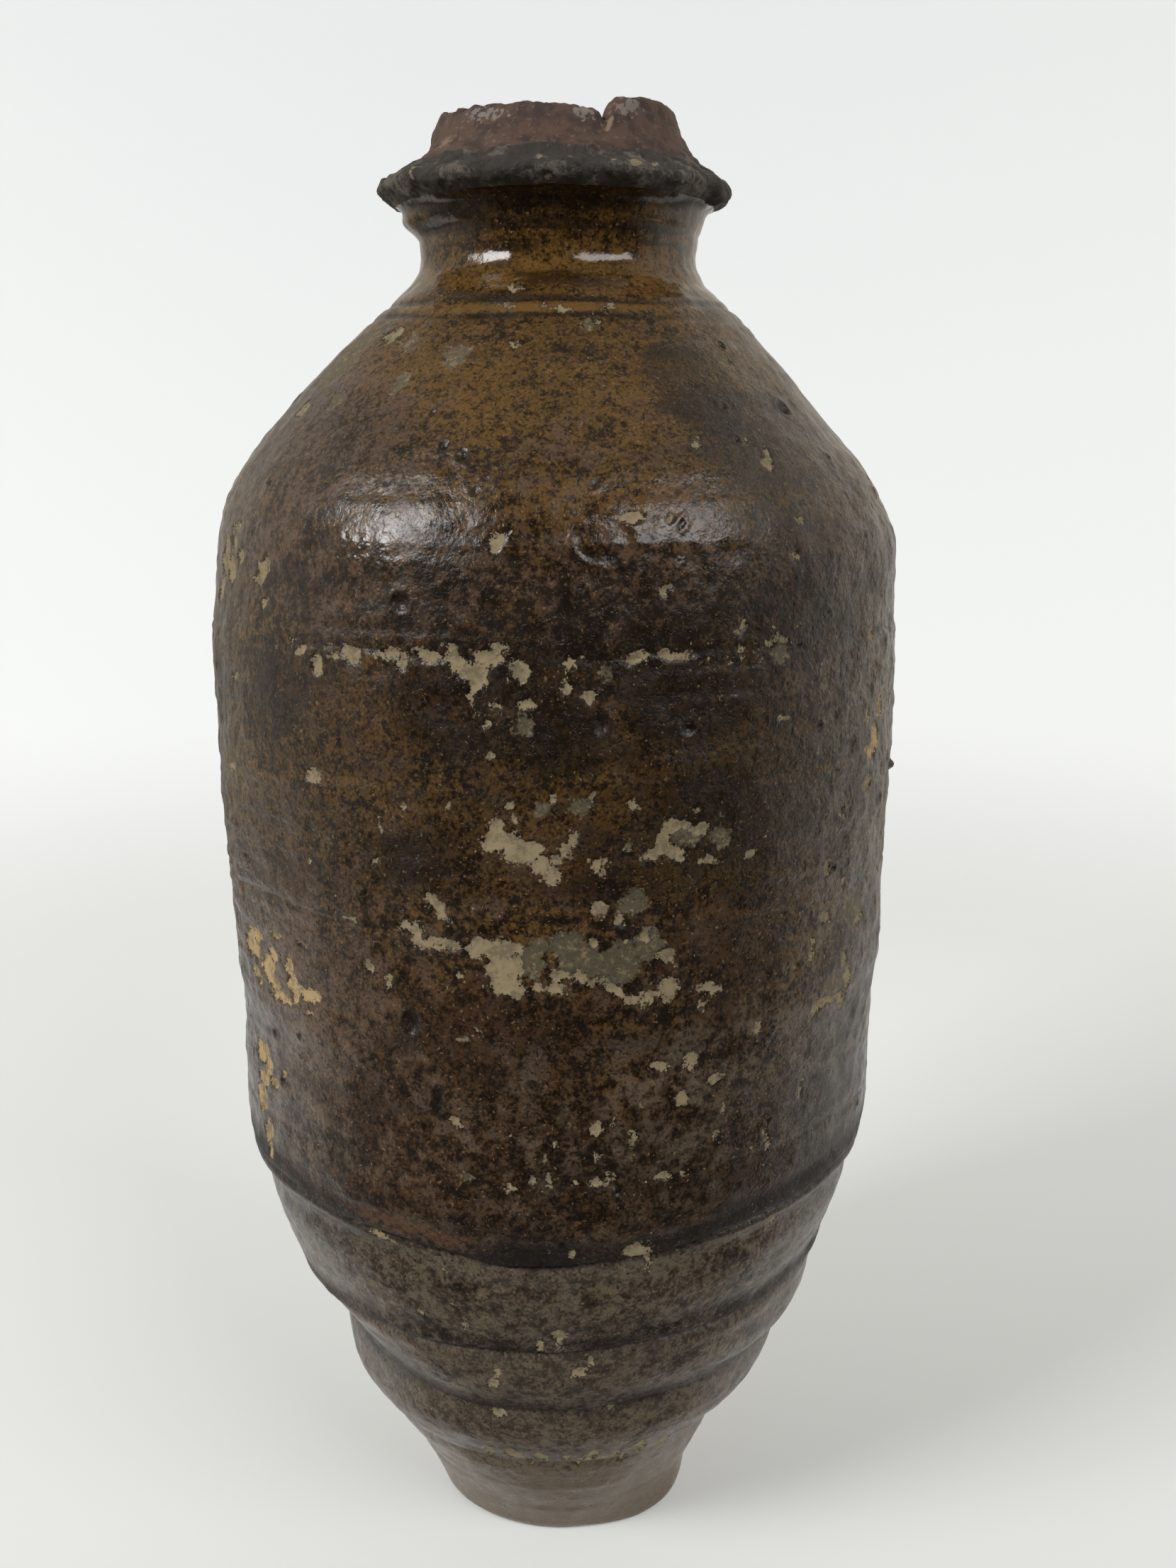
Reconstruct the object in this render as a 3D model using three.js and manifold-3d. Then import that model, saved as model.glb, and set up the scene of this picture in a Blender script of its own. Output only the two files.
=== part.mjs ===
// A stoneware sake bottle that holds about one sho (1.8 litres), built on a slow wheel from a cut
// foot disc, coils of clay and a thrown mouth. Each piece is one that the potter made and luted
// to the next. Every joint is a bevel: the upper piece laps down over the outside of the lower one.
// Lengths are in millimetres, +Z is up, and the origin is the centre of the foot's underside.
import * as THREE from "three";
import { mergeVertices } from "three/addons/utils/BufferGeometryUtils.js";
import Module from "manifold-3d";

const SIDES = 48;
const FOOT_EDGE_RADIUS = 25.25;
const FOOT_CHAMFER = 1.25;
const FLOOR_HEIGHT = 10;
const RIM_HEIGHT = 282;
const RIM_OUTER_RADIUS = 22;
const RIM_INNER_RADIUS = 18.5;
const RIM_ROUNDING = 1.5;

// Each joint's height and radius at the outer surface, its radius at the inner surface, and how
// far the bevel rises on its way in.
const JOINTS = {
  foot: { height: 8, outer: 29, inner: 20, rise: 2 },
  lower_1: { height: 24, outer: 38.25, inner: 29.5, rise: 3 },
  lower_2: { height: 43, outer: 46.5, inner: 38.5, rise: 3 },
  lower_3: { height: 61, outer: 54.25, inner: 46.5, rise: 3 },
  waist: { height: 80, outer: 59.75, inner: 53, rise: 3 },
  barrel_2: { height: 98, outer: 64, inner: 56.5, rise: 3 },
  barrel_3: { height: 145, outer: 65.75, inner: 58.5, rise: 3 },
  shoulder: { height: 190, outer: 66.5, inner: 59, rise: 3 },
  cone: { height: 212, outer: 62.75, inner: 52, rise: 2 },
  neck: { height: 250, outer: 30, inner: 21.5, rise: 2 },
  flange: { height: 265, outer: 29, inner: 19.75, rise: 1 },
  collar: { height: 272, outer: 28.75, inner: 19.25, rise: 1 },
  rim: { height: RIM_HEIGHT, outer: RIM_OUTER_RADIUS, inner: RIM_INNER_RADIUS, rise: 0 },
};

// Each coil spans two joints. Its side swells by bulge at mid height, or hollows where bulge is
// negative, and its lower edge stands out by lip over the piece below.
const COILS = [
  { name: "foot_coil", from: "foot", to: "lower_1", bulge: 0, lip: 0, steps: 3 },
  { name: "lower_coil_1", from: "lower_1", to: "lower_2", bulge: 1.75, lip: 0, steps: 4 },
  { name: "lower_coil_2", from: "lower_2", to: "lower_3", bulge: 0.75, lip: 0.5, steps: 4 },
  { name: "lower_coil_3", from: "lower_3", to: "waist", bulge: 1.25, lip: 1, steps: 4 },
  { name: "barrel_coil_1", from: "waist", to: "barrel_2", bulge: 2, lip: 1.75, steps: 5 },
  { name: "barrel_coil_2", from: "barrel_2", to: "barrel_3", bulge: 0, lip: 0, steps: 3 },
  { name: "barrel_coil_3", from: "barrel_3", to: "shoulder", bulge: 0.5, lip: 0, steps: 3 },
  { name: "shoulder_coil", from: "shoulder", to: "cone", bulge: 1.25, lip: 0, steps: 5 },
  { name: "shoulder_cone", from: "cone", to: "neck", bulge: 1.25, lip: 0, steps: 5 },
  { name: "neck_ring", from: "neck", to: "flange", bulge: -3.5, lip: 0, steps: 6 },
  { name: "flange_ring", from: "flange", to: "collar", bulge: 5, lip: 0, steps: 6 },
];

// The rim's break: a worn length, a split and a chip, each cut by a block standing on the rim.
// Azimuth is in degrees to the right of the front (-Y), and cut is the depth below the rim.
const RIM_BREAKS = [
  { azimuth: -75, width: 66, cut: 1.75, turn: 0 },
  { azimuth: 23, width: 3.5, cut: 3, turn: 45 },
  { azimuth: 108, width: 26, cut: 1.75, turn: 0 },
];
const BREAK_REACH = 30;

const GLAZE = { color: 0x3a2819, roughness: 0.35, metalness: 0 };
const DARK_GLAZE = { color: 0x1f1c18, roughness: 0.5, metalness: 0 };
const BARE_CLAY = { color: 0x57413a, roughness: 0.85, metalness: 0 };

const wasm = await Module();
wasm.setup();

const point = (radius, height) => new THREE.Vector2(radius, height);

// Points up a coil's outer side, from just above its lower joint to its upper joint.
function outerSide({ from, to, bulge, lip, steps }) {
  const points = [];
  for (let step = 1; step <= steps; step++) {
    const share = step / steps;
    const height = THREE.MathUtils.lerp(from.height, to.height, share);
    const straight = THREE.MathUtils.lerp(from.outer + lip, to.outer, share);
    points.push(point(straight + bulge * Math.sin(Math.PI * share), height));
  }
  points[steps - 1].set(to.outer, to.height);
  return points;
}

// A closed ring section between two joints, given the points of its outer side.
function ringSection(from, to, outer) {
  return [
    point(from.outer, from.height),
    ...outer,
    point(to.inner, to.height + to.rise),
    point(from.inner, from.height + from.rise),
    point(from.outer, from.height),
  ];
}

// Turns a section about Z, in a frame that stands at the height base.
function turned(section, base) {
  const local = section.map((p) => point(p.x, p.y - base));
  return new THREE.LatheGeometry(local, SIDES).rotateX(Math.PI / 2);
}

function solidOf(geometry) {
  const bare = geometry.clone().deleteAttribute("normal").deleteAttribute("uv");
  const merged = mergeVertices(bare);
  const vertProperties = merged.attributes.position.array;
  const triVerts = new Uint32Array(merged.index.array);
  return new wasm.Manifold(new wasm.Mesh({ numProp: 3, vertProperties, triVerts }));
}

function geometryOf(solid) {
  const { vertProperties, triVerts } = solid.getMesh();
  const geometry = new THREE.BufferGeometry();
  geometry.setAttribute("position", new THREE.BufferAttribute(vertProperties, 3));
  geometry.setIndex(new THREE.BufferAttribute(triVerts, 1));
  geometry.computeVertexNormals();
  return geometry;
}

function placed(name, geometry, height, look) {
  const mesh = new THREE.Mesh(geometry, new THREE.MeshStandardMaterial(look));
  mesh.name = name;
  mesh.position.z = height;
  return mesh;
}

function footDisc() {
  const { height, outer, inner, rise } = JOINTS.foot;
  const section = [
    point(0, 0),
    point(FOOT_EDGE_RADIUS, 0),
    point(FOOT_EDGE_RADIUS + FOOT_CHAMFER, FOOT_CHAMFER),
    point(outer, height),
    point(inner, height + rise),
    point(0, FLOOR_HEIGHT),
  ];
  return placed("foot_disc", turned(section, 0), 0, GLAZE);
}

function coil({ name, from, to, bulge, lip, steps }) {
  const [lower, upper] = [JOINTS[from], JOINTS[to]];
  const side = outerSide({ from: lower, to: upper, bulge, lip, steps });
  if (lip > 0) side.unshift(point(lower.outer + lip, lower.height + lip / 2));
  const look = name === "flange_ring" ? DARK_GLAZE : GLAZE;
  return placed(name, turned(ringSection(lower, upper, side), lower.height), lower.height, look);
}

// One block that cuts the rim, standing at an azimuth with its lower side or edge at the cut.
function rimBlock({ azimuth, width, cut, turn }) {
  const lean = THREE.MathUtils.degToRad(turn);
  const tall = turn ? width : RIM_HEIGHT / 10;
  const halfDrop = turn ? width * Math.SQRT1_2 : tall / 2;
  return new THREE.BoxGeometry(width, BREAK_REACH, tall)
    .rotateY(lean)
    .translate(0, -BREAK_REACH / 2, RIM_HEIGHT - cut + halfDrop - JOINTS.collar.height)
    .rotateZ(THREE.MathUtils.degToRad(azimuth));
}

function mouthCollar() {
  const { collar, rim } = JOINTS;
  const side = outerSide({ from: collar, to: rim, bulge: -2, lip: 0, steps: 5 });
  side[side.length - 1].set(rim.outer, rim.height - RIM_ROUNDING);
  side.push(point(rim.outer - RIM_ROUNDING, rim.height));
  const whole = turned(ringSection(collar, rim, side), collar.height);
  let solid = solidOf(whole);
  for (const block of RIM_BREAKS) solid = solid.subtract(solidOf(rimBlock(block)));
  return placed("mouth_collar", geometryOf(solid), collar.height, BARE_CLAY);
}

const bottle = new THREE.Group();
bottle.add(footDisc(), ...COILS.map(coil), mouthCollar());

export default bottle;
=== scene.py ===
"""Looks of a stoneware sake bottle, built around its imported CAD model.

The outside is one sheet, laid out by azimuth and by distance up the outline, and shaped by the
potter's coils, joints and flaws. It is cut at the CAD model's joints into one closed piece for each
CAD node, so the pieces meet without a seam. Lengths in the shape section are millimetres. Azimuth 0
is the front, -Y, and azimuth grows towards the right, +X.
"""
import math

import bmesh
import bpy
import numpy as np
from mathutils import Matrix, Vector


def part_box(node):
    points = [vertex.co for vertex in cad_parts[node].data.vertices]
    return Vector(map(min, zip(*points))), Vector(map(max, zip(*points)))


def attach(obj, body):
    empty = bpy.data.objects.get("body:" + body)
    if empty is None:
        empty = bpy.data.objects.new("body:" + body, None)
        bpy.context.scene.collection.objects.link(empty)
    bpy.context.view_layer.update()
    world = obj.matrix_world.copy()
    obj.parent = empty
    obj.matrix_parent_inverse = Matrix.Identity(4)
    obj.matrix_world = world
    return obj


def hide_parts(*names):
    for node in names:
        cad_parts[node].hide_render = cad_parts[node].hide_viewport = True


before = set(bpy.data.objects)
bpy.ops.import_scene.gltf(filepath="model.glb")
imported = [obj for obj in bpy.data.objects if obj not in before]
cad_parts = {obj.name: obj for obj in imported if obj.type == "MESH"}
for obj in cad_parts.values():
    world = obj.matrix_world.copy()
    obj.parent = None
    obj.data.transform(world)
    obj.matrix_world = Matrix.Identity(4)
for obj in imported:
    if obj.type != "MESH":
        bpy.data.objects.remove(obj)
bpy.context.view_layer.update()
MM = 0.001

# The CAD nodes from the foot up. A node's outer surface ends where the next node's box begins.
PIECES = sorted(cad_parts, key=lambda name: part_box(name)[0].z)
SLOTS = {"flange_ring": "dark_glaze", "mouth_collar": "bare_clay"}
BASE = {name: round(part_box(name)[0].z / MM, 2) for name in PIECES}
TOP = {name: round(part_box(name)[1].z / MM, 2) for name in PIECES}

# ---------------- Shape: the layout

# The sheet's columns, their azimuths, and the distance between its rows.
COLUMNS = 720
ANGLES = np.arange(COLUMNS) * 360 / COLUMNS - 180
ROW_STEP = 0.55

# The outline of the outside as radius and height, from the foot's edge to the inner edge of the
# rim. Below the barrel it runs straight from joint to joint.
OUTLINE = [
    (25.6, 0), (26.6, 1), (29.3, 8), (38.6, 24), (47.4, 43), (54.6, 61), (60.3, 80), (64.5, 92),
    (64.3, 100), (64.8, 115), (65.1, 130), (65.8, 145), (66.4, 162), (66.6, 178), (66.3, 190),
    (65.4, 202), (63.6, 210), (60.4, 216.2), (56, 222), (46.6, 232), (37.3, 242), (31.2, 247.8),
    (27.3, 252), (26, 255.6), (26.6, 260), (28.2, 264), (31.2, 265.6), (32.7, 266.7),
    (33, 267.9), (32.2, 269), (30.2, 270), (28.2, 271.2), (26.2, 273.2), (23.9, 276.6),
    (22.6, 279.6), (22.1, 281.1), (21.2, 281.9), (19.9, 281.8), (19, 280.6), (18.6, 278),
]
# Its first points, up to the barrel, are joined by straight lines.
STRAIGHT_POINTS = 8
# The inside from the rim down to the edge of the floor, the distance between its rows, and the
# finer one that its curve is worked out at.
INSIDE = [
    (18.6, 278), (19.25, 273), (19.75, 266), (21.5, 252), (34, 236.5), (52, 214), (57, 204),
    (59, 193), (58.5, 148), (56.5, 101), (53, 83), (46.5, 64), (38.5, 46), (29.5, 27), (20, 10),
]
INSIDE_STEP = 2.5
INSIDE_FINE_STEP = 0.5


def ease(value, low, high):
    """0 at low, 1 at high, and a smooth step between. Either may be the larger number."""
    share = np.clip((value - low) / (high - low), 0, 1)
    return share * share * (3 - 2 * share)


def hump(value, centre, reach):
    """1 at the centre, and 0 beyond reach on either side."""
    return 1 - ease(np.abs(value - centre), 0, reach)


def curve(knots, parts=24):
    """A smooth curve through the knots, as many close points."""
    knots = np.array(knots, float)
    before, after = 2 * knots[0] - knots[1], 2 * knots[-1] - knots[-2]
    chain = np.vstack([before, knots, after])
    share = np.linspace(0, 1, parts, endpoint=False)[:, None]
    points = []
    for a, b, c, d in zip(chain, chain[1:], chain[2:], chain[3:]):
        bend = 2 * a - 5 * b + 4 * c - d
        twist = 3 * b - a - 3 * c + d
        points.append((2 * b + (c - a) * share + bend * share**2 + twist * share**3) / 2)
    return np.vstack([*points, knots[-1:]])


def evenly(points, step):
    """The same path with its points a step apart."""
    length = np.concatenate([[0], np.cumsum(np.hypot(*np.diff(points, axis=0).T))])
    count = max(2, round(length[-1] / step) + 1)
    at = np.linspace(0, length[-1], count)
    return np.column_stack([np.interp(at, length, points[:, axis]) for axis in range(2)])


def cut(path, low, high):
    """The part of a rising path between two heights, with a point on each."""
    inside = path[(path[:, 1] > low) & (path[:, 1] < high)]
    ends = [[np.interp(z, path[:, 1], path[:, 0]), z] for z in (low, high)]
    return np.vstack([ends[:1], inside, ends[1:]])


def outer_rows():
    """The outline's rows, and the numbers of the rows that lie on the pieces' ends."""
    straight = np.array(OUTLINE[:STRAIGHT_POINTS], float)
    path = np.vstack([straight[:-1], curve(OUTLINE[STRAIGHT_POINTS - 1:])])
    top = int(np.argmax(path[:, 1])) + 1
    levels = [*BASE.values(), path[top - 1, 1]]
    parts = [cut(path[:top], low, high) for low, high in zip(levels, levels[1:])]
    parts[-1] = np.vstack([parts[-1], path[top:]])
    rows = [evenly(part, ROW_STEP)[:-1] for part in parts[:-1]]
    rows.append(evenly(parts[-1], ROW_STEP))
    ends = np.cumsum([0, *(len(row) for row in rows)])
    ends[-1] -= 1
    return np.vstack(rows), ends


# Each row's radius and height on the outline, and which way is outwards from it.
ROWS, ENDS = outer_rows()
REACH = ROWS[:, :1]
LEVEL = ROWS[:, 1:]
OUTLINE_TOP = float(LEVEL.max())
SLOPE = np.gradient(ROWS, axis=0)
SLOPE /= np.hypot(SLOPE[:, :1], SLOPE[:, 1:])
OUT, UP = SLOPE[:, 1:], -SLOPE[:, :1]
# Every point's azimuth, and its place on the outline turned about Z.
RADIANS = np.radians(ANGLES)
ANGLE_GRID = ANGLES + 0 * LEVEL
PLACES = np.stack(
    [REACH * np.sin(RADIANS), -REACH * np.cos(RADIANS), LEVEL + 0 * RADIANS], axis=-1
)


# Large primes that stir a cell's place and seed, and the shift before each stir.
CELL_PRIMES = np.array([73856093, 19349663, 83492791])
SEED_PRIME = 2654435761
STIRS = ((15, 2246822519), (13, 3266489917))


def hashed(cells, seed):
    """A number from -1 to 1 for each whole-number cell."""
    key = cells @ CELL_PRIMES + seed * SEED_PRIME
    for shift, prime in STIRS:
        key = (key ^ (key >> shift)) * prime & 0xFFFFFFFF
    return (key ^ (key >> 16)) / 2**31 - 1


def noise(size, seed, stretch=1.0):
    """Smooth noise from -1 to 1 over the sheet. Its lumps are size tall and stretch times as wide."""
    scaled = PLACES / np.array([size * stretch, size * stretch, size]) + 100
    cells = np.floor(scaled).astype(np.int64)
    part = scaled - cells
    part = part * part * (3 - 2 * part)
    total = 0
    for corner in np.ndindex(2, 2, 2):
        sides = [part[..., axis] if corner[axis] else 1 - part[..., axis] for axis in range(3)]
        total = total + sides[0] * sides[1] * sides[2] * hashed(cells + np.array(corner), seed)
    return total


def around(knots, blur):
    """A value for each column from (azimuth, value) knots, rounded over blur degrees."""
    line = np.interp(ANGLES, *zip(*knots), period=360)
    width = max(1, round(blur * COLUMNS / 360))
    kernel = np.hanning(width + 2)
    padded = np.concatenate([line[-width:], line, line[:width]])
    smooth = np.convolve(padded, kernel / kernel.sum(), mode="same")
    return smooth[width:-width]


# How far a mark's ragged edge strays across and up.
JAG_ACROSS = 0.75 * noise(2.4, 1) + 0.4 * noise(0.9, 2)
JAG_UP = 0.75 * noise(2.4, 3) + 0.4 * noise(0.9, 4)
# The depth given to a point that is outside every mark, and how far above and below a mark's own
# height its rows are worked out.
FAR = -3.0
MARK_MARGIN = 4


def marks(places, jag=1.0):
    """How far inside the nearest mark each point is, with ragged edges.

    Each mark is an ellipse: its azimuth, height, half width and half height, and its turn in
    degrees where it leans, rising to the right.
    """
    field = np.full(PLACES.shape[:2], FAR)
    for azimuth, height, wide, tall, *turn in places:
        near = np.flatnonzero(np.abs(LEVEL[:, 0] - height) < MARK_MARGIN + wide + tall)
        apart = (ANGLES - azimuth + 180) % 360 - 180
        across = np.radians(apart) * REACH[near] + jag * JAG_ACROSS[near]
        up = LEVEL[near] - height + jag * JAG_UP[near]
        lean = math.radians(turn[0] if turn else 0)
        along = across * math.cos(lean) + up * math.sin(lean)
        over = up * math.cos(lean) - across * math.sin(lean)
        inside = (1 - np.hypot(along / wide, over / tall)) * min(wide, tall)
        field[near] = np.maximum(field[near], inside)
    return field


# ---------------- Shape: flaws and marks

# Where the glaze has flaked off to the pale slip, each as a mark that marks() takes.
FLAKES = [
    # Along the seam under the shoulder.
    (-40.3, 190.8, 0.5, 0.7), (-38, 189.3, 0.6, 1.4, -55), (-35, 186.7, 1.2, 1.6),
    (-32.8, 190.2, 0.6, 0.3), (-31.8, 188.4, 1, 0.4), (-29, 189, 1.7, 1.3), (-22.5, 189.4, 1.9, 0.8),
    (-20.8, 188.2, 1, 1.2), (-16.5, 189.6, 3.6, 0.8), (-12.5, 188.2, 3.2, 1.4, -40),
    (-9.6, 186.4, 1.4, 2.2), (-8.4, 189.6, 2.3, 1.3), (-10.2, 182.8, 0.5, 2), (-13.5, 190.6, 1, 0.7),
    (-6.4, 191.3, 1.4, 1), (-4.3, 187.4, 1.5, 1.8), (-7, 181.8, 0.6, 0.5), (-3, 181.6, 0.9, 0.8),
    (-8.8, 178.2, 0.8, 0.6), (-8, 173.5, 0.9, 0.6), (3.3, 188.3, 0.8, 1.2), (4.5, 190, 0.4, 0.4),
    (6, 189, 0.5, 0.5), (5.8, 183.5, 1.3, 1), (2.3, 185, 0.9, 0.8), (12, 189, 1.8, 0.8, 25),
    (17.5, 189.6, 2.3, 1), (20.5, 188.8, 0.9, 0.6), (28, 188.8, 0.5, 0.9), (31.5, 188.6, 0.4, 0.6),
    (33.5, 190.4, 0.9, 0.4), (35.8, 190.8, 1.4, 0.5), (38.8, 189.4, 0.7, 0.4), (59.5, 188.8, 2, 1.1),
    # On the shoulder and the neck.
    (-49.5, 201.3, 3.2, 1.5, 30), (-48.5, 202.5, 0.9, 1.8), (-48, 196, 0.9, 0.5),
    (-60, 208.3, 2.4, 0.7), (-61, 205.5, 1.8, 0.7), (-57.5, 203, 1.4, 1.2), (-62, 200.5, 2.2, 2.6),
    (-66, 203, 2.4, 3.2), (-68, 197, 2, 2.4), (-7, 207, 1.2, 1.6), (28.4, 193.6, 0.9, 1.3),
    (38.4, 203.7, 0.6, 1.2), (41, 209.5, 1, 0.5), (16.7, 199.7, 0.8, 0.8), (17.5, 210.5, 0.8, 1),
    (12, 211, 1.6, 1), (38.5, 219.3, 1.6, 0.9, -35), (39.3, 219.8, 0.7, 1.5),
    (36.3, 222.3, 0.4, 0.4), (-46, 240.5, 2.2, 1.3, 35), (-58.5, 227.5, 1.6, 1.3),
    (-13, 248.2, 1, 0.7), (1.5, 244.7, 1.2, 0.5), (-2, 245.3, 0.8, 0.4), (-15, 245.6, 1.2, 0.4),
    (17, 245, 0.8, 0.4), (11.8, 242.8, 0.6, 0.8), (-9, 238.5, 0.6, 0.5), (25, 222.5, 1, 0.8),
    # Scattered over the barrel.
    (-58, 181.8, 1.6, 0.7), (-62.5, 164.7, 3, 0.7, 15), (-37, 167.5, 1.8, 1.4),
    (-49.5, 166, 0.9, 0.4), (36, 177.5, 0.9, 0.5), (58.3, 174.3, 0.9, 1.7), (60.8, 168, 3, 1.8),
    (58.5, 168.5, 1.4, 1), (59, 162, 2.4, 1.5, 20), (21.3, 164.2, 0.4, 0.5),
    (-14.5, 165.6, 0.7, 0.6), (-16.5, 161.5, 0.3, 0.3), (-25.3, 160.8, 0.3, 0.8),
    (-26.5, 154, 0.7, 0.6), (-21, 164, 0.6, 0.6), (-31.3, 143.4, 1.3, 0.7), (-28.5, 135.5, 1.2, 1.3),
    (-25, 133.5, 0.9, 1.1), (-13.5, 136.4, 0.6, 0.7), (-50.2, 136, 1.4, 0.9), (-43, 136, 1.6, 0.6),
    (-12.8, 124.8, 0.9, 0.5), (-10.7, 125.9, 0.9, 0.6), (-14.8, 108.7, 0.8, 0.9),
    (-42, 123.5, 0.8, 0.7), (33.5, 122.2, 0.5, 0.9), (16.5, 119.3, 1.4, 0.8),
    (21.5, 119.5, 1.2, 0.9), (26, 114.7, 1.2, 0.9), (20, 112.2, 1.4, 1.1), (13.9, 112, 0.5, 0.8),
    (7, 108.7, 1, 1.2), (9.3, 109.2, 0.5, 0.5), (12, 105.7, 0.7, 1.5), (6.8, 103, 0.7, 1),
    (27.5, 108.5, 0.7, 0.9), (26.8, 104, 0.5, 1.3), (36.3, 101.3, 0.5, 1.6), (36.8, 98.7, 0.6, 0.8),
    (44, 107, 0.5, 1.3), (40.5, 132, 0.4, 1), (44.2, 134.5, 0.5, 1.8), (47.5, 139.7, 1.8, 0.8),
    (52.5, 144.5, 0.7, 0.8), (58.5, 136.5, 2.4, 0.9), (53, 130.8, 1.2, 1.8), (54.5, 126, 0.9, 2.8),
    (47.5, 123.3, 2.8, 1.3), (52, 123.3, 3, 1), (53.5, 121.5, 1.2, 1.2), (0.5, 105.5, 0.9, 0.9),
    (51.2, 158.7, 0.5, 1.2), (47.5, 149.3, 0.7, 1.4),
    # In the barrel's middle.
    (-7.5, 161.5, 1.2, 1.5), (-6.5, 159.3, 3.6, 1.6), (-4.5, 157.5, 2.2, 1.8), (-2.5, 158, 1.8, 1.6),
    (-1, 155.5, 1.4, 1.8), (0.5, 154, 1.2, 1.4), (1, 156.5, 1, 1), (2.5, 158.2, 1.5, 1.2, 45),
    (3.5, 160, 0.9, 1.2), (-5.2, 162.8, 0.5, 2), (-5, 165.6, 0.9, 0.5), (0.5, 166.8, 0.9, 0.9),
    (6, 166.7, 0.5, 0.6), (12.1, 165.5, 1, 1.2), (7, 155.8, 1.4, 1.1), (7.5, 154.3, 0.7, 0.8),
    (14.5, 157, 1.5, 1.2), (16.3, 158.8, 1.8, 1.8), (18.5, 161, 2.4, 1.2), (21.5, 160.5, 2, 1.3),
    (18, 157.2, 1.6, 1.4), (23.5, 155.1, 1.8, 0.8), (30.2, 155, 0.9, 0.9), (7.5, 148.2, 1.4, 1.3),
    (-16.5, 147.5, 2.4, 1.1, -50),
    # In the band below that.
    (-21.5, 143.5, 0.9, 2, -70), (-18, 141.3, 2.8, 1.2), (-10.5, 141, 2.2, 1.8),
    (-14.3, 141.2, 2.6, 1, -10), (-19.8, 142.6, 2, 0.8, -40), (0.8, 133.8, 1.6, 0.9),
    (4.6, 135.6, 1.7, 0.7, -25), (14.4, 131.8, 1.5, 1), (-7, 140.5, 2.8, 2.4), (-6.8, 137, 3.2, 2.6),
    (-7, 134.5, 2.8, 1.8), (-4.5, 134, 1.4, 1.6), (-2, 134.3, 0.9, 1), (13.5, 143, 0.8, 1.2),
    (17.5, 139, 1.8, 1.2), (2, 136.5, 1.8, 0.9, -30), (7, 134.9, 1.4, 0.7),
    (9, 133.6, 1.6, 0.8, -30), (12, 131.5, 1.8, 0.9, -35), (6.2, 142, 0.9, 0.9),
    (10.5, 145.2, 1, 0.8), (17.8, 133, 1.9, 2.2), (24.3, 132, 0.9, 2.4, 80), (23.5, 129.3, 0.8, 0.8),
    # On the barrel's foot and the lower coils.
    (-6.3, 97.8, 0.9, 0.7), (-2.5, 98.7, 0.5, 0.5), (-0.3, 99, 0.5, 0.9), (-1, 102.8, 0.5, 0.7),
    (3.2, 98.2, 0.7, 0.5), (7, 98.2, 1.1, 0.7), (9.3, 98.5, 0.9, 1.2), (17.5, 98, 1.2, 0.7),
    (21, 98, 0.5, 0.8), (3, 84, 0.7, 0.8), (14, 83.5, 1.8, 2), (15.8, 82, 0.5, 3),
    (35.3, 84, 0.4, 1.5), (41, 82, 0.8, 1.5), (-13.5, 81.5, 0.9, 0.6), (0.8, 65.5, 1.2, 1.8),
    (4.5, 56, 1.7, 1.8), (7, 57.8, 0.8, 1.6), (-12, 55, 0.6, 3), (-3, 62, 0.6, 2.5),
    (-12.5, 52.5, 1, 1.5), (-16.5, 67.5, 0.6, 0.9), (-25, 68, 0.7, 0.7), (-17.7, 71.5, 0.4, 0.4),
    (-18.5, 78, 0.5, 0.5), (-30, 82.5, 2.2, 0.6, -15), (-13, 41, 1, 0.7), (12.7, 42.5, 0.5, 1.2),
    (-19, 27, 1, 1.8), (-12, 27.4, 1.5, 2.4), (-4.5, 27, 1.3, 2.4), (2.5, 27, 0.9, 1.8),
    (9, 27.6, 1.2, 2.2), (16, 27.2, 1.1, 2), (23, 27.4, 1.6, 2.6), (31, 27.4, 1.1, 2),
    (-8, 24.6, 0.9, 1.4), (5.5, 24.4, 0.8, 1.5), (19.5, 24.4, 0.9, 1.6), (37, 28.5, 0.9, 1.6),
]
# Flakes stained a warmer ochre.
OCHRE_FLAKES = [
    (-60, 131, 3.5, 2.2), (-58, 133.8, 2.5, 0.9), (-58.5, 125.3, 2.6, 1.2), (-54, 129, 2.8, 1.5),
    (-51.5, 131.8, 1.4, 1.6), (-53, 127, 1.6, 2), (-51.5, 125.5, 1.4, 1.4), (-50, 123.6, 3.6, 1),
    (-47, 131, 1.5, 2.4), (-46, 128, 1.6, 2), (-45.5, 125.5, 1.4, 1.2), (-42, 126.7, 3, 1.1),
    (-61, 109, 3.8, 2), (-57.5, 107, 2, 1.8), (-55, 104.8, 1.6, 0.8), (-60, 104, 2.8, 1.6),
    (62, 170, 2.2, 2.6), (64.5, 175, 1.4, 2.2), (-61, 99.5, 2.2, 2.6), (-57.8, 94.5, 2, 2.2),
    (-57, 91.8, 1, 1.2), (-51, 108, 1.2, 0.8),
]
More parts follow.
